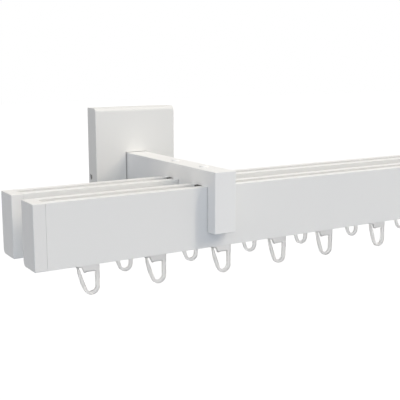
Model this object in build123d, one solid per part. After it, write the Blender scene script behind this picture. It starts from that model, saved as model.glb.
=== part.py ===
from build123d import *
import math
import os

# Double curtain track on two wall brackets, in millimetres.
# X runs along the rails, Y runs back to the wall and Z is up. The origin lies on the wall,
# midway between the two brackets and level with the middle of their arms.

# Rails: two equal extruded runs, one in front of the other
rail_length = 1000.0
rail_depth = 16.8
rail_height = 35.0
rail_pitch = 32.5
rail_side_wall = 1.4
rail_web = 1.3
rail_edge_radius = 0.15
rail_heel_radius = 3.0

# Top groove, which the brackets hold, and bottom channel, which the gliders run in
lip_thickness = 1.8
groove_depth = 5.0
groove_mouth = 6.5
channel_height = 7.2
channel_ledge = 1.6
channel_mouth = 4.6

# Brackets: a comb-shaped arm that the rails hang in, on a wall plate under a cover
bracket_inset = 102.1
arm_reach = 120.5
arm_width = 13.8
arm_height = 35.0
arm_edge_chamfer = 0.2
bridge_height = 9.1
front_lip = 7.4
notch_clearance = 0.8

# Cover over the wall plate
cover_width = 58.2
cover_height = 94.6
cover_depth = 12.1
cover_face = 2.5
cover_rim = 4.0
cover_round = 2.6
cover_edge_chamfer = 0.15
cover_clearance = 0.5
window_side_clearance = 0.8
window_end_clearance = 0.3

# Wall plate and its two wall screw holes
plate_thickness = 6.0
wall_hole_spacing = 60.0
wall_hole_radius = 2.75

# Screws that hold the arm to the wall plate from behind
arm_screw_spacing = 20.0
arm_screw_radius = 2.5
arm_screw_head_radius = 4.6
arm_screw_length = 26.0
arm_screw_tip_room = 1.0
arm_screw_key = 3.0

# Lug in each rail's groove, set in the arm, and the screw that presses on the rail's lip
lug_length = 16.4
lug_flange_width = 13.0
lug_flange_thickness = 3.0
lug_neck_drop = 0.3
lug_stem_length = 10.0
lug_stem_height = 4.0
lug_clearance = 0.15
clamp_screw_offset = 6.3
clamp_screw_radius = 1.5
clamp_head_radius = 2.6
clamp_head_height = 0.9
clamp_head_round = 0.3
clamp_screw_key = 2.0

# Grub screw in the cover's left rim, which bears on the wall plate's edge
cover_screw_height = 1.5
cover_screw_radius = 2.0
cover_screw_length = 3.6
cover_screw_key = 2.0

# End caps
cap_thickness = 6.8
cap_edge_radius = 0.4
cap_end_round = 0.3
cap_seam_width = 0.12
cap_seam_depth = 0.4
cap_plug_length = 12.0
cap_plug_wall = 1.6
cap_plug_clearance = 0.2

# Gliders: a head on the channel's ledges, a neck and a flat hook with a springy tongue
glider_head_length = 9.6
glider_head_width = 11.0
glider_head_height = 2.4
glider_head_round = 2.0
glider_neck_length = 8.0
glider_neck_width = 3.8
glider_lift = 0.1
glider_drop = 0.3
hook_thickness = 2.0
hook_depth = 18.6
hook_outer_radius = 4.65
hook_inner_radius = 2.75
hook_leg_width = 2.15
hook_bend_width = 1.9
hook_edge_round = 0.25
bar_low = 2.9
bar_reach = 8.3
shoulder_height = 5.7
shoulder_reach = 4.0
shoulder_slant = 1.5
tooth_drop = 0.4
tooth_width = 1.6
tongue_reach = 8.0
tongue_gap = 0.25
tongue_tip_width = 0.9
tongue_outer_turn = 28.0
tongue_inner_turn = 20.0

# Where the gliders stand, from each rail's left end; the right half has them at the same distances
front_glider_places = (27.3, 68.1, 111.8, 152.8, 190.4, 236.3)
back_glider_places = (63.5, 109.0, 154.0, 196.6, 242.6, 290.4)

# Screws and pins stand this far inside the walls of their holes
thread_clearance = 0.05

# What is cut away is cut this far past the faces that it opens
overshoot = 2.0

# Levels and places that follow from the sizes above
arm_top = arm_height / 2
rail_top = arm_top - bridge_height
rail_bottom = rail_top - rail_height
front_rail_y = -arm_reach + front_lip + notch_clearance + rail_depth / 2
back_rail_y = front_rail_y + rail_pitch
rail_ys = (front_rail_y, back_rail_y)
bracket_x = rail_length / 2 - bracket_inset
rail_inner_width = rail_depth - 2 * rail_side_wall
channel_top = channel_ledge + channel_height
chamber_floor = channel_top + rail_web
groove_floor = rail_height - lip_thickness - groove_depth
chamber_top = groove_floor - rail_web
plate_width = cover_width - 2 * (cover_rim + cover_clearance)
plate_height = cover_height - 2 * (cover_rim + cover_clearance)


def rail_outline(edge_radius):
    """Outer section of a rail, standing on its underside, with the wall to the right."""
    outline = Rectangle(rail_depth, rail_height, align=(Align.CENTER, Align.MIN))
    heel = [v for v in outline.vertices() if v.X > 0 and v.Y < rail_height / 2]
    outline = fillet(heel, rail_heel_radius)
    sharp = [v for v in outline.vertices() if v.X < 0 or v.Y > rail_height / 2]
    return fillet(sharp, edge_radius)


def hollow(width, low, high):
    """Rectangle centred across the rail section, from one level to another."""
    return Pos(0, low) * Rectangle(width, high - low, align=(Align.CENTER, Align.MIN))


def make_rail():
    """Rail along X with its left end at the origin: top groove, closed chamber and glider channel."""
    section = rail_outline(rail_edge_radius)
    section -= hollow(rail_inner_width, chamber_floor, chamber_top)
    section -= hollow(rail_inner_width, channel_ledge, channel_top)
    section -= hollow(channel_mouth, -overshoot, channel_ledge + overshoot)
    section -= hollow(rail_inner_width, groove_floor, groove_floor + groove_depth)
    section -= hollow(groove_mouth, groove_floor + groove_depth - overshoot, rail_height + overshoot)
    return extrude(Plane.YZ * section, amount=rail_length)


def make_end_cap():
    """Left end cap: a block with the rail's outline, a narrow seam and a hollow plug for its chamber."""
    outline = rail_outline(cap_edge_radius)
    block = extrude(Plane.YZ.offset(-cap_seam_width) * outline, amount=cap_seam_width - cap_thickness)
    block = fillet(block.faces().sort_by(Axis.X)[0].edges(), cap_end_round)
    seat = offset(outline, -cap_seam_depth, kind=Kind.INTERSECTION)
    block += extrude(Plane.YZ * seat, amount=-cap_seam_width)
    plug_width = rail_inner_width - 2 * cap_plug_clearance
    plug_low = chamber_floor + cap_plug_clearance
    plug_high = chamber_top - cap_plug_clearance
    plug = hollow(plug_width, plug_low, plug_high)
    plug -= hollow(plug_width - 2 * cap_plug_wall, plug_low + cap_plug_wall, plug_high - cap_plug_wall)
    return block + extrude(Plane.YZ * plug, amount=cap_plug_length)


def make_arm():
    """Arm with its middle on x = 0: notches hold the rails and its end turns down in front of them."""
    length = arm_reach - plate_thickness
    side = Pos(-plate_thickness, 0) * Rectangle(length, arm_height, align=(Align.MAX, Align.CENTER))
    notch_width = rail_depth + 2 * notch_clearance
    notch_height = arm_height + overshoot
    for y in rail_ys:
        side -= Pos(y, rail_top) * Rectangle(notch_width, notch_height, align=(Align.CENTER, Align.MAX))
    arm = extrude(Plane.YZ * side, amount=arm_width / 2, both=True)
    seen = arm.faces().sort_by(Axis.Z)[-1].edges() + arm.faces().sort_by(Axis.Y)[0].edges()
    arm = chamfer(seen, arm_edge_chamfer)
    stand = (Align.CENTER, Align.CENTER, Align.MIN)
    pocket_width = groove_mouth - 2 * lug_clearance + 2 * thread_clearance
    pocket_length = lug_stem_length + 2 * thread_clearance
    clamp_hole = Cylinder(clamp_screw_radius, bridge_height + 2 * overshoot)
    for y in rail_ys:
        arm -= Pos(0, y, rail_top) * Box(pocket_length, pocket_width, lug_stem_height, align=stand)
        arm -= Pos(0, y + clamp_screw_offset, arm_top - bridge_height / 2) * clamp_hole
    hole_depth = arm_screw_length - plate_thickness + arm_screw_tip_room
    for z in (-arm_screw_spacing / 2, arm_screw_spacing / 2):
        hole = Cylinder(arm_screw_radius, hole_depth, align=stand)
        arm -= Pos(0, -plate_thickness, z) * Rot(90, 0, 0) * hole
    return arm


def countersunk_body(radius, head_radius, length):
    """Solid of a countersunk screw along +Z, with its head's flat top at the origin."""
    head_height = head_radius - radius
    head = Cone(head_radius, radius, head_height, align=(Align.CENTER, Align.CENTER, Align.MIN))
    return head + Cylinder(radius, length, align=(Align.CENTER, Align.CENTER, Align.MIN))


def hexagon_socket(across_flats, depth):
    """Prism that cuts a hexagon socket along +Z from the origin."""
    return extrude(RegularPolygon(across_flats / 2, 6, major_radius=False), amount=depth)


def make_wall_plate():
    """Plate on the wall: two wall screw holes and two countersunk holes from behind for the arm."""
    plate = Box(plate_width, plate_thickness, plate_height, align=(Align.CENTER, Align.MAX, Align.CENTER))
    wall_hole = Cylinder(wall_hole_radius, plate_thickness + 2 * overshoot)
    for z in (-wall_hole_spacing / 2, wall_hole_spacing / 2):
        plate -= Pos(0, -plate_thickness / 2, z) * Rot(90, 0, 0) * wall_hole
    for z in (-arm_screw_spacing / 2, arm_screw_spacing / 2):
        sink = countersunk_body(
            arm_screw_radius + thread_clearance,
            arm_screw_head_radius + thread_clearance,
            arm_screw_length,
        )
        plate -= Pos(0, 0, z) * Rot(90, 0, 0) * sink
    return plate


def make_arm_screws():
    """Two countersunk screws through the wall plate into the end of the arm."""
    screw = countersunk_body(arm_screw_radius - thread_clearance, arm_screw_head_radius, arm_screw_length)
    screw -= hexagon_socket(arm_screw_key, arm_screw_key / 2)
    heights = (-arm_screw_spacing / 2, arm_screw_spacing / 2)
    return Compound([Pos(0, -thread_clearance, z) * Rot(90, 0, 0) * screw.solid() for z in heights])


def make_cover():
    """Cover block, hollowed from behind, with rounded top and bottom edges and a window for the arm."""
    cover = Box(cover_width, cover_depth, cover_height, align=(Align.CENTER, Align.MAX, Align.CENTER))
    front = cover.faces().sort_by(Axis.Y)[0]
    cover = fillet(front.edges().filter_by(Axis.X), cover_round)
    side_faces = [cover.faces().sort_by(Axis.X)[0], cover.faces().sort_by(Axis.X)[-1]]
    cover = chamfer([e for f in side_faces for e in f.edges() if not on_wall(e)], cover_edge_chamfer)
    pocket_depth = cover_depth - cover_face
    pocket_width = cover_width - 2 * cover_rim
    pocket_height = cover_height - 2 * cover_rim
    cover -= Box(pocket_width, pocket_depth, pocket_height, align=(Align.CENTER, Align.MAX, Align.CENTER))
    window_width = arm_width + 2 * window_side_clearance
    window_height = arm_height + 2 * window_end_clearance
    cover -= Pos(0, -cover_depth / 2, 0) * Box(window_width, cover_depth + 2 * overshoot, window_height)
    hole = Rot(0, 90, 0) * Cylinder(cover_screw_radius, cover_rim + 2 * overshoot)
    return cover - Pos((cover_rim - cover_width) / 2, -plate_thickness / 2, cover_screw_height) * hole


def on_wall(edge):
    """True for an edge that lies on the wall, which keeps its sharp rim."""
    return abs(edge.center().Y) < cover_edge_chamfer / 2


def make_cover_screw():
    """Grub screw between the cover's left rim and the edge of the wall plate."""
    screw = Cylinder(
        cover_screw_radius - thread_clearance,
        cover_screw_length,
        align=(Align.CENTER, Align.CENTER, Align.MIN),
    )
    screw -= hexagon_socket(cover_screw_key, cover_screw_key)
    outer_end = -plate_width / 2 - cover_screw_length
    return Pos(outer_end, -plate_thickness / 2, cover_screw_height) * Rot(0, 90, 0) * screw


def make_lugs():
    """One lug for each rail: a flange under the groove's lips, a neck and a stem up in the arm."""
    stand = (Align.CENTER, Align.CENTER, Align.MIN)
    neck_width = groove_mouth - 2 * lug_clearance
    flange_top = rail_top - lip_thickness
    neck_top = rail_top - lug_neck_drop
    lugs = []
    for y in rail_ys:
        flange = Box(lug_length, lug_flange_width, lug_flange_thickness, align=stand)
        neck = Box(lug_length, neck_width, lug_flange_thickness + lip_thickness - lug_neck_drop, align=stand)
        stem = Box(lug_stem_length, neck_width, lug_stem_height + lug_neck_drop, align=stand)
        lug = Pos(0, y, flange_top - lug_flange_thickness) * (flange + neck)
        lugs.append((lug + Pos(0, y, neck_top) * stem).solid())
    return Compound(lugs)


def make_clamp_screws():
    """Two pan-head screws down through the arm, each pressing on its rail's back lip."""
    stand = (Align.CENTER, Align.CENTER, Align.MIN)
    head = Cylinder(clamp_head_radius, clamp_head_height, align=stand)
    head = fillet(head.edges().sort_by(Axis.Z)[-1], clamp_head_round)
    socket = hexagon_socket(clamp_screw_key, clamp_head_height / 2)
    head -= Pos(0, 0, clamp_head_height / 2) * socket
    shank = Cylinder(
        clamp_screw_radius - thread_clearance, bridge_height, align=(Align.CENTER, Align.CENTER, Align.MAX)
    )
    screw = (head + shank).solid()
    return Compound([Pos(0, y + clamp_screw_offset, arm_top) * screw for y in rail_ys])


def leave_bend(centre, radius, turn):
    """Where the tongue leaves a bend, this many degrees below the bend's centre, and which way it goes."""
    level = Vector(-1, 0).rotate(Axis.Z, turn)
    return centre + level * radius, level.rotate(Axis.Z, -90)


def bend(centre, radius, start, end):
    """Arc round the bottom of a circle from one point on it to another."""
    middle = ((start - centre).normalized() + (end - centre).normalized()).normalized()
    return ThreePointArc(start, centre + middle * radius, end)


def make_hook():
    """Flat hook seen from the front, with its load line on x = 0 and the rail's underside at z = 0."""
    outer_centre = Vector(0, hook_outer_radius - hook_depth)
    inner_x = hook_outer_radius - hook_leg_width - hook_inner_radius
    inner_centre = Vector(inner_x, hook_bend_width + hook_inner_radius - hook_depth)
    outer_right = outer_centre + Vector(hook_outer_radius, 0)
    inner_right = inner_centre + Vector(hook_inner_radius, 0)
    outer_left, outer_way = leave_bend(outer_centre, hook_outer_radius, tongue_outer_turn)
    inner_left, inner_way = leave_bend(inner_centre, hook_inner_radius, tongue_inner_turn)
    outer_tip = Vector(-tongue_reach, -bar_low - tongue_gap)
    inner_tip = outer_tip + Vector(tongue_tip_width, 0)
    outline = bend(outer_centre, hook_outer_radius, outer_right, outer_left)
    outline += TangentArc(outer_left, outer_tip, tangent=outer_way)
    outline += Line(outer_tip, inner_tip)
    outline += TangentArc(inner_left, inner_tip, tangent=inner_way)
    outline += bend(inner_centre, hook_inner_radius, inner_left, inner_right)
    outline += Polyline(
        inner_right,
        (inner_right.X, -shoulder_height),
        (-shoulder_reach + tooth_width, -shoulder_height),
        (-shoulder_reach, -shoulder_height - tooth_drop),
        (-shoulder_reach - shoulder_slant, -bar_low),
        (-bar_reach, -bar_low),
        (-bar_reach, -glider_drop),
        (hook_outer_radius, -glider_drop),
        outer_right,
    )
    hook = extrude(Plane.XZ * make_face(outline), amount=hook_thickness / 2, both=True)
    faces = hook.faces().sort_by(Axis.Y)
    return fillet(faces[0].edges() + faces[-1].edges(), hook_edge_round)


def make_glider():
    """Glider with its load line on x = 0, y = 0 and the rail's underside at z = 0."""
    stand = (Align.CENTER, Align.CENTER, Align.MIN)
    seat = channel_ledge + glider_lift
    plan = RectangleRounded(glider_head_length, glider_head_width, glider_head_round)
    head = Pos(0, 0, seat) * extrude(plan, amount=glider_head_height)
    neck = Box(glider_neck_length, glider_neck_width, seat + glider_drop, align=stand)
    return head + Pos(0, 0, -glider_drop) * neck + make_hook()


def glider_xs(places):
    """Places of all the gliders on one rail: the left half and the same distances at the right."""
    left = [place - rail_length / 2 for place in places]
    return left + [-x for x in reversed(left)]


def build_all():
    """Every node by name, at its place in the track."""
    nodes = {}
    rail, cap, glider = make_rail(), make_end_cap(), make_glider()
    runs = (("front", front_rail_y, front_glider_places), ("back", back_rail_y, back_glider_places))
    for name, y, places in runs:
        nodes[f"{name}_rail"] = Pos(-rail_length / 2, y, rail_bottom) * rail
        left_cap = Pos(-rail_length / 2, y, rail_bottom) * cap
        nodes[f"{name}_rail_left_cap"] = left_cap
        nodes[f"{name}_rail_right_cap"] = mirror(left_cap, about=Plane.YZ)
        for number, x in enumerate(glider_xs(places), 1):
            nodes[f"{name}_glider_{number:02d}"] = Pos(x, y, rail_bottom) * glider
    makers = {
        "wall_plate": make_wall_plate,
        "cover_plate": make_cover,
        "cover_screw": make_cover_screw,
        "arm": make_arm,
        "arm_screws": make_arm_screws,
        "slot_lugs": make_lugs,
        "clamp_screws": make_clamp_screws,
    }
    for piece, make in makers.items():
        shape = make()
        nodes[f"left_{piece}"] = Pos(-bracket_x, 0, 0) * shape
        nodes[f"right_{piece}"] = Pos(bracket_x, 0, 0) * shape
    return nodes


os.makedirs("parts", exist_ok=True)
for node, shape in build_all().items():
    export_step(shape, f"parts/{node}.step")
    print(node, round(shape.volume, 1))
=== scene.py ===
# %% [markdown]
# This lesson dresses a double curtain track for its picture: two white square rails, one in front of
# the other, on wall brackets, with small hooks in the channel under each rail. The construction model
# holds every piece at its real size, so nothing is resized or moved here. What is left to do is the
# light, the camera and the finishes.

# %% Load the frame
import math
import bpy
import bmesh
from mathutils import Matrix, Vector


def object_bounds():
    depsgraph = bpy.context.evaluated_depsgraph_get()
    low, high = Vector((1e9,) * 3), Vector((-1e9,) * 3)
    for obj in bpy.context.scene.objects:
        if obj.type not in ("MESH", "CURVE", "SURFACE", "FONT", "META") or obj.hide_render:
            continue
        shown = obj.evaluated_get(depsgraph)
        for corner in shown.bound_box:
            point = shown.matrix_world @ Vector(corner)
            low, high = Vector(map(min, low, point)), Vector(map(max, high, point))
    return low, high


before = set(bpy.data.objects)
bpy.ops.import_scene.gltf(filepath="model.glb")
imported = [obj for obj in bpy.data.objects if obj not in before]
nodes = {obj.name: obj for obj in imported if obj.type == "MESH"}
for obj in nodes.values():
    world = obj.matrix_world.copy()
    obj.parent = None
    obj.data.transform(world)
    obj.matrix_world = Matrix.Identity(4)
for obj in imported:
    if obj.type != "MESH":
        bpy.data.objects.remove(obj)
cad_box = [list(corner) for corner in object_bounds()]
print("construction nodes:", len(nodes))
print("construction box in metres:", cad_box)

# %% [markdown]
# The camera stands a little left of the track's left end and looks slightly down along it, so the
# rails run away to the right. A viewpoint and a lens could be tried out by eye. A photograph's own
# straight edges give both more exactly, because lines that are parallel on the object meet in one
# point of the picture. They are written here as a place, a target and a focal length.

# %% Camera
EYE = Vector((-0.6376, -0.4818, 0.0808))
TARGET = Vector((-0.4051, -0.1051, -0.0001))
FOCAL_LENGTH_MM = 71.1
NEAREST_SEEN = 0.01
FARTHEST_SEEN = 200.0

camera_data = bpy.data.cameras.new("camera")
camera_data.lens = FOCAL_LENGTH_MM
camera_data.clip_start = NEAREST_SEEN
camera_data.clip_end = FARTHEST_SEEN
camera = bpy.data.objects.new("camera", camera_data)
camera.location = EYE
camera.rotation_euler = (TARGET - EYE).to_track_quat("-Z", "Y").to_euler()
bpy.context.scene.collection.objects.link(camera)
bpy.context.scene.camera = camera
print("camera to target in metres:", round((TARGET - EYE).length, 3))

# %% [markdown]
# Colours are written as the hex values that a picture program shows. Cycles works with linear light,
# so one function turns a hex value into linear red, green and blue. A second one adds a shader node
# with its settings and links in one call, and a third starts an empty material. Together they keep
# each material short enough to read.

# %% Colour and node helpers
def linear(hex_colour):
    """Linear colour with full alpha from six sRGB hex digits."""
    shares = [int(hex_colour[place:place + 2], 16) / 255 for place in (1, 3, 5)]
    return [v / 12.92 if v <= 0.04045 else ((v + 0.055) / 1.055) ** 2.4 for v in shares] + [1.0]


def add_node(tree, kind, inputs=None, **settings):
    """New node of one kind; inputs maps a socket's name or number to a value or to another socket."""
    node = tree.nodes.new("ShaderNode" + kind)
    for name, value in settings.items():
        setattr(node, name, value)
    for name, value in (inputs or {}).items():
        if isinstance(value, bpy.types.NodeSocket):
            tree.links.new(value, node.inputs[name])
        else:
            node.inputs[name].default_value = value
    return node


def new_material(name):
    """Material with no nodes yet, and its node tree."""
    material = bpy.data.materials.new(name)
    material.use_nodes = True
    material.node_tree.nodes.clear()
    return material, material.node_tree


WHITE = linear("#FFFFFF")
print("white is", WHITE)

# %% [markdown]
# The studio has no walls. The surround is a pale glow above and a much dimmer, bluish one below, so
# that shadows stay readable, but what looks straight at it sees pure white. Brighter lamps could make
# the background white too, but they would bleach the white object. A light path node is the better
# way, because its outputs say what kind of ray is asking: rays from the camera and mirror-like rays
# get white, and the scattered rays that carry light to the object get the dimmer glow.

# %% Surround
SURROUND_COLOUR = "#FFFEFF"
SURROUND_STRENGTH = 0.58
GROUND_COLOUR = "#BBDAFF"
GROUND_STRENGTH = 0.112
# The two glows melt into each other where a direction rises or falls by less than this share.
HORIZON_BLEND = 0.1


def looks_straight(tree):
    """Socket that is 1 for rays that show a background as it is, and 0 for scattered light."""
    path = add_node(tree, "LightPath").outputs
    mirrored = add_node(
        tree, "Math", {0: path["Is Glossy Ray"], 1: path["Is Transmission Ray"]}, operation="MAXIMUM"
    )
    either = add_node(
        tree, "Math", {0: path["Is Camera Ray"], 1: mirrored.outputs[0]}, operation="MAXIMUM"
    )
    return either.outputs[0]


world = bpy.data.worlds.new("studio_surround")
world.use_nodes = True
bpy.context.scene.world = world
sky = world.node_tree
sky.nodes.clear()
above = add_node(sky, "Background", {"Color": linear(SURROUND_COLOUR), "Strength": SURROUND_STRENGTH})
below = add_node(sky, "Background", {"Color": linear(GROUND_COLOUR), "Strength": GROUND_STRENGTH})
way = add_node(sky, "SeparateXYZ", {0: add_node(sky, "TexCoord").outputs["Generated"]})
share = add_node(
    sky, "MapRange", {"Value": way.outputs["Z"], "From Min": -HORIZON_BLEND, "From Max": HORIZON_BLEND}
)
glow = add_node(sky, "MixShader", {"Fac": share.outputs[0], 1: below.outputs[0], 2: above.outputs[0]})
seen = add_node(sky, "Background", {"Color": WHITE, "Strength": 1.0})
chosen = add_node(sky, "MixShader", {"Fac": looks_straight(sky), 1: glow.outputs[0], 2: seen.outputs[0]})
add_node(sky, "OutputWorld", {"Surface": chosen.outputs[0]})
bpy.context.scene.view_settings.view_transform = "Standard"
print("surround strength above:", SURROUND_STRENGTH, "and below:", GROUND_STRENGTH)

# %% [markdown]
# The key lamp is what draws the shadows. In the picture the bracket's turned-down front throws a
# shadow to its left and far downwards, which fixes the lamp's direction: high up, in front and to the
# right. An area lamp would light the near end of the track more than the far end. A sun lamp has
# parallel light, so both ends are lit alike, and its angle sets how soft the shadows' edges are.
# Three more sun lamps with wide angles act like the pale walls of a studio, and a fourth like a
# reflector that stands low on the right and shines upwards. Each lights the sides that face it, with
# shadows too soft to see.

# %% Lamps
SHADOW_SHIFT = Vector((-7.9, 8.0, -20.0))
KEY_ANGLE_DEGREES = 2.5
KEY_COLOUR = "#FFFBEF"
KEY_STRENGTH = 0.64
# Each wall: degrees left of straight in front, degrees above level, width in degrees, colour, strength.
WALLS = {
    "front_right_wall": (-45.0, 35.0, 20.0, "#FFF1DF", 0.78),
    "front_left_wall": (30.0, 5.0, 60.0, "#ECF3FF", 0.715),
    "back_left_wall": (150.0, 5.0, 30.0, "#FFD97E", 0.116),
    "low_right_reflector": (-80.0, -22.0, 40.0, "#F5FBFF", 0.48),
}

middle = (Vector(cad_box[0]) + Vector(cad_box[1])) / 2


def add_sun(name, place_from_middle, colour, strength, angle_degrees):
    """Sun lamp that shines from a place towards the object's middle."""
    lamp = bpy.data.lights.new(name, "SUN")
    lamp.energy = strength
    lamp.color = linear(colour)[:3]
    lamp.angle = math.radians(angle_degrees)
    holder = bpy.data.objects.new(name, lamp)
    holder.location = middle + place_from_middle
    holder.rotation_euler = (-place_from_middle).to_track_quat("-Z", "Y").to_euler()
    bpy.context.scene.collection.objects.link(holder)


def direction(left_degrees, up_degrees):
    """Direction of length 1, turned to the left from straight in front and then raised."""
    left, up = math.radians(left_degrees), math.radians(up_degrees)
    return Vector((-math.sin(left) * math.cos(up), -math.cos(left) * math.cos(up), math.sin(up)))


add_sun("key", -SHADOW_SHIFT.normalized(), KEY_COLOUR, KEY_STRENGTH, KEY_ANGLE_DEGREES)
for name, (left_degrees, up_degrees, width_degrees, colour, strength) in WALLS.items():
    add_sun(name, direction(left_degrees, up_degrees), colour, strength, width_degrees)
print("key lamp falls along", [round(v, 2) for v in SHADOW_SHIFT.normalized()])

# %% [markdown]
# The track hangs on a wall near the ceiling, so the floor is far below it. The light that it would
# throw back up is already in the surround's lower half and the low reflector, so scattered light and
# the reflector's rays pass the floor by. Only the camera and mirror-like rays see it. It glows a
# little, which lifts it to white where the lamps reach it.

# %% Floor
FLOOR_DROP = 2.4
FLOOR_SIDE = 80.0
FLOOR_COLOUR = "#757575"
FLOOR_GLOW = 0.9

floor_mesh = bmesh.new()
bmesh.ops.create_grid(floor_mesh, x_segments=1, y_segments=1, size=FLOOR_SIDE / 2)
bmesh.ops.translate(floor_mesh, verts=floor_mesh.verts, vec=(0, 0, cad_box[0][2] - FLOOR_DROP))
floor_data = bpy.data.meshes.new("floor")
floor_mesh.to_mesh(floor_data)
floor_mesh.free()
floor = bpy.data.objects.new("floor", floor_data)
bpy.context.scene.collection.objects.link(floor)
floor.visible_shadow = False
floor.visible_diffuse = False

floor_paint, tree = new_material("pale_studio_floor")
matt = add_node(tree, "BsdfDiffuse", {"Color": linear(FLOOR_COLOUR)})
glowing = add_node(tree, "Emission", {"Color": WHITE, "Strength": FLOOR_GLOW})
lifted = add_node(tree, "AddShader", {0: matt.outputs[0], 1: glowing.outputs[0]})
add_node(tree, "OutputMaterial", {"Surface": lifted.outputs[0]})
floor_data.materials.append(floor_paint)
print("floor level in metres:", round(floor_data.vertices[0].co.z, 3))

# %% [markdown]
# Rails, arms and covers are aluminium under white powder coat: paint that is sprayed on as dry powder
# and melted in an oven. Its film is never quite flat. It has a shallow, rounded waviness like orange
# peel, and a satin gloss and a tone that differ a little from place to place. A picture of paint could
# be wrapped around each piece, but it would show a seam at every edge. Noise in three dimensions is
# read from the object's own coordinates, so it runs over the edges without any seam. Its scale comes
# from the real size of what it draws.

# %% Powder coat
def scale_for(millimetres):
    """Scale of a texture whose features are this many millimetres across, on a model in metres."""
    return 1000.0 / millimetres


def powder_coat(name, dark, light, glossier, duller, index):
    """White satin powder coat: what the eye gets is an even soft sheen on slightly wavy paint."""
    material, tree = new_material(name)
    place = add_node(tree, "TexCoord").outputs["Object"]
    clouds = add_node(tree, "TexNoise", {"Vector": place, "Scale": scale_for(45.0)})
    # A Mix node keeps sockets for numbers first. Its two colours are inputs 6 and 7, and output 2.
    tone = add_node(
        tree, "Mix", data_type="RGBA",
        inputs={"Factor": clouds.outputs[0], 6: linear(dark), 7: linear(light)},
    )
    patches = add_node(tree, "TexNoise", {"Vector": place, "Scale": scale_for(12.0)})
    gloss = add_node(
        tree, "MapRange", {"Value": patches.outputs[0], "To Min": glossier, "To Max": duller}
    )
    # Real orange peel is about 1 mm across. It is drawn at 2.2 mm, so that it shows at all.
    peel = add_node(tree, "TexNoise", {"Vector": place, "Scale": scale_for(2.2)})
    waves = add_node(tree, "Bump", {"Height": peel.outputs[0], "Strength": 0.12, "Distance": 0.0002})
    shader = add_node(tree, "BsdfPrincipled", {
        "Base Color": tone.outputs[2],
        "Roughness": gloss.outputs[0],
        "Normal": waves.outputs[0],
        "IOR": index,
    })
    add_node(tree, "OutputMaterial", {"Surface": shader.outputs[0]})
    return material


# One white powder coat in three copies. The cover's copy is painted darker, as painted shade for the
# plate further back, which gets less light. The arm's copy is painted lighter, as painted light for the
# arm's front, which gets more.
rail_coat = powder_coat("powder_coated_rail", "#F2F3F2", "#F5F5F3", 0.30, 0.40, 1.53)
arm_coat_painted_light = powder_coat("powder_coated_arm", "#F8F9F8", "#FAFAF9", 0.50, 0.60, 1.48)
cover_coat_painted_shade = powder_coat("powder_coated_cover", "#ECEDEB", "#EFEFED", 0.50, 0.60, 1.48)
print("made", rail_coat.name, arm_coat_painted_light.name, cover_coat_painted_shade.name)

# %% [markdown]
# The end caps are moulded plastic in the rails' white. A mould that was etched by sparks leaves an even
# fine grain, so the caps are a little more matt than the coated metal beside them. Roughness alone
# could dull them, but the grain also breaks up the light on the caps' rounded edges, so a dense, fine
# noise drives both the roughness and a faint bump.

# %% End cap plastic
def cap_plastic():
    """White moulded ABS from a spark-etched mould: an even, dense grain with a low sheen."""
    material, tree = new_material("white_moulded_abs")
    place = add_node(tree, "TexCoord").outputs["Object"]
    clouds = add_node(tree, "TexNoise", {"Vector": place, "Scale": scale_for(20.0)})
    tone = add_node(
        tree, "Mix", data_type="RGBA",
        inputs={"Factor": clouds.outputs[0], 6: linear("#F2F2F1"), 7: linear("#F5F5F3")},
    )
    specks = add_node(tree, "TexNoise", {"Vector": place, "Scale": scale_for(0.8)})
    gloss = add_node(tree, "MapRange", {"Value": specks.outputs[0], "To Min": 0.52, "To Max": 0.62})
    # The etched grain is about 0.1 mm. It is drawn at 0.5 mm, the finest that a picture can show.
    grain = add_node(tree, "TexNoise", {"Vector": place, "Scale": scale_for(0.5), "Detail": 1.0})
    pits = add_node(tree, "Bump", {"Height": grain.outputs[0], "Strength": 0.1, "Distance": 0.00005})
    shader = add_node(tree, "BsdfPrincipled", {
        "Base Color": tone.outputs[2],
        "Roughness": gloss.outputs[0],
        "Normal": pits.outputs[0],
        "IOR": 1.45,
    })
    add_node(tree, "OutputMaterial", {"Surface": shader.outputs[0]})
    return material


abs_white = cap_plastic()
print("made", abs_white.name)

# %% [markdown]
# Gliders are acetal, a hard and slippery plastic. Undyed acetal is milky: some light passes right
# through a thin hook and some comes out a little further on, so the hooks look soft and their shaded
# sides stay bright. Plain white would look like chalk. Rough transmission gives the light that passes
# through, and subsurface scattering with a radius of about a millimetre gives the light that spreads.

# %% Glider plastic
def glider_plastic():
    """Milky undyed acetal: smooth, slightly waxy, with light that shines into thin edges."""
    material, tree = new_material("milky_acetal")
    place = add_node(tree, "TexCoord").outputs["Object"]
    clouds = add_node(tree, "TexNoise", {"Vector": place, "Scale": scale_for(6.0)})
    milk = add_node(
        tree, "Mix", data_type="RGBA",
        inputs={"Factor": clouds.outputs[0], 6: linear("#DDDDDD"), 7: linear("#E3E2E1")},
    )
    patches = add_node(tree, "TexNoise", {"Vector": place, "Scale": scale_for(3.0)})
    gloss = add_node(tree, "MapRange", {"Value": patches.outputs[0], "To Min": 0.45, "To Max": 0.55})
    flow = add_node(tree, "TexNoise", {"Vector": place, "Scale": scale_for(1.5)})
    ripples = add_node(tree, "Bump", {"Height": flow.outputs[0], "Strength": 0.08, "Distance": 0.0001})
    shader = add_node(tree, "BsdfPrincipled", {
        "Base Color": milk.outputs[2],
        "Roughness": gloss.outputs[0],
        "Normal": ripples.outputs[0],
        "IOR": 1.48,
        "Transmission Weight": 0.9,
        "Subsurface Weight": 0.35,
        "Subsurface Radius": (1.0, 0.95, 0.9),
        "Subsurface Scale": 0.0012,
    })
    add_node(tree, "OutputMaterial", {"Surface": shader.outputs[0]})
    return material


acetal = glider_plastic()
print("made", acetal.name)

# %% [markdown]
# The plate on the wall and the screws from behind it are zinc-plated steel. Zinc from a hot bath shows
# large crystals, which a Voronoi texture could draw. Plated zinc has none. It has a faint blue cast and
# a cloudy pattern of patches that reflect a little more or less sharply, so soft noise is right for it.

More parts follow.
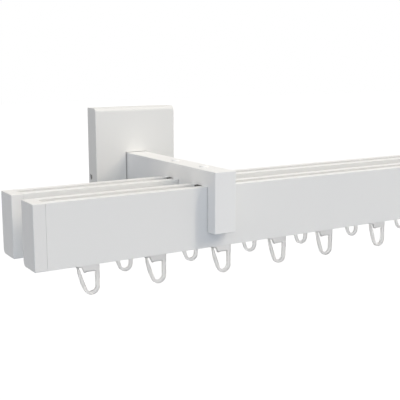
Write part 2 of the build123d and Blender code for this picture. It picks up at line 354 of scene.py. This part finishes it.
# %% Zinc plate
def zinc():
    """Bright zinc on steel: cloudy grey metal with a cool cast, from sharp to dull in patches."""
    material, tree = new_material("bright_zinc_plate")
    place = add_node(tree, "TexCoord").outputs["Object"]
    clouds = add_node(tree, "TexNoise", {"Vector": place, "Scale": scale_for(9.0), "Detail": 4.0})
    tint = add_node(
        tree, "Mix", data_type="RGBA",
        inputs={"Factor": clouds.outputs[0], 6: linear("#B4B9BC"), 7: linear("#CBCFD0")},
    )
    patches = add_node(tree, "TexNoise", {"Vector": place, "Scale": scale_for(5.0), "Detail": 3.0})
    gloss = add_node(tree, "MapRange", {"Value": patches.outputs[0], "To Min": 0.28, "To Max": 0.5})
    rolled = add_node(tree, "TexNoise", {"Vector": place, "Scale": scale_for(1.2)})
    dents = add_node(tree, "Bump", {"Height": rolled.outputs[0], "Strength": 0.1, "Distance": 0.0001})
    shader = add_node(tree, "BsdfPrincipled", {
        "Base Color": tint.outputs[2],
        "Roughness": gloss.outputs[0],
        "Normal": dents.outputs[0],
        "Metallic": 1.0,
    })
    add_node(tree, "OutputMaterial", {"Surface": shader.outputs[0]})
    return material


zinc_plate = zinc()
print("made", zinc_plate.name)

# %% [markdown]
# The lugs in the rails' grooves are phosphated steel, which is dark grey and dull, and the cover's
# grub screw is lighter, oiled steel. The lugs' dark grey is partly their steel and partly painted shade:
# their ends beside each arm stand where the groove lies in the arm's shade. Both are small, so one
# function makes both. They stay metals and aren't black paint, because even a dull metal picks up a
# little of the white around it.

# %% Bare steels
def bare_steel(name, dark, light):
    """Unplated steel: dull grey metal with a clouded film, finely mottled from satin to matt."""
    material, tree = new_material(name)
    place = add_node(tree, "TexCoord").outputs["Object"]
    clouds = add_node(tree, "TexNoise", {"Vector": place, "Scale": scale_for(2.5), "Detail": 3.0})
    film = add_node(
        tree, "Mix", data_type="RGBA",
        inputs={"Factor": clouds.outputs[0], 6: linear(dark), 7: linear(light)},
    )
    patches = add_node(tree, "TexNoise", {"Vector": place, "Scale": scale_for(1.5)})
    gloss = add_node(tree, "MapRange", {"Value": patches.outputs[0], "To Min": 0.35, "To Max": 0.55})
    shader = add_node(tree, "BsdfPrincipled", {
        "Base Color": film.outputs[2],
        "Roughness": gloss.outputs[0],
        "Metallic": 1.0,
    })
    add_node(tree, "OutputMaterial", {"Surface": shader.outputs[0]})
    return material


# Dark grey lugs: partly the steel's own colour, partly painted shade for the groove beside each arm.
phosphated_and_painted_shade = bare_steel("phosphated_steel", "#6A6967", "#7C7A77")
screw_steel = bare_steel("oiled_screw_steel", "#8C8B88", "#A19F9B")
print("made", phosphated_and_painted_shade.name, screw_steel.name)

# %% [markdown]
# Every construction node keeps its mesh and gets one material. That could be written out node by node,
# but there are dozens, and their names already say what they are. So a short table of words picks the
# finish. The first word that fits wins, which is why the two kinds of screw stand before the arm.

# %% Give every construction node its finish
FINISHES = {
    "cover_plate": cover_coat_painted_shade,
    "clamp_screws": arm_coat_painted_light,
    "arm_screws": zinc_plate,
    "arm": arm_coat_painted_light,
    "cap": abs_white,
    "glider": acetal,
    "wall_plate": zinc_plate,
    "slot_lugs": phosphated_and_painted_shade,
    "cover_screw": screw_steel,
}


def finish_of(name):
    """Material for a node, by the first of these words in its name; the coated rails remain."""
    matches = [material for word, material in FINISHES.items() if word in name]
    return matches[0] if matches else rail_coat


for name, node in nodes.items():
    node.data.materials.clear()
    node.data.materials.append(finish_of(name))
print("finishes given to", len(nodes), "nodes")

# %% [markdown]
# The last cell only prints that the script has run to its end.

# %% End
print("done")
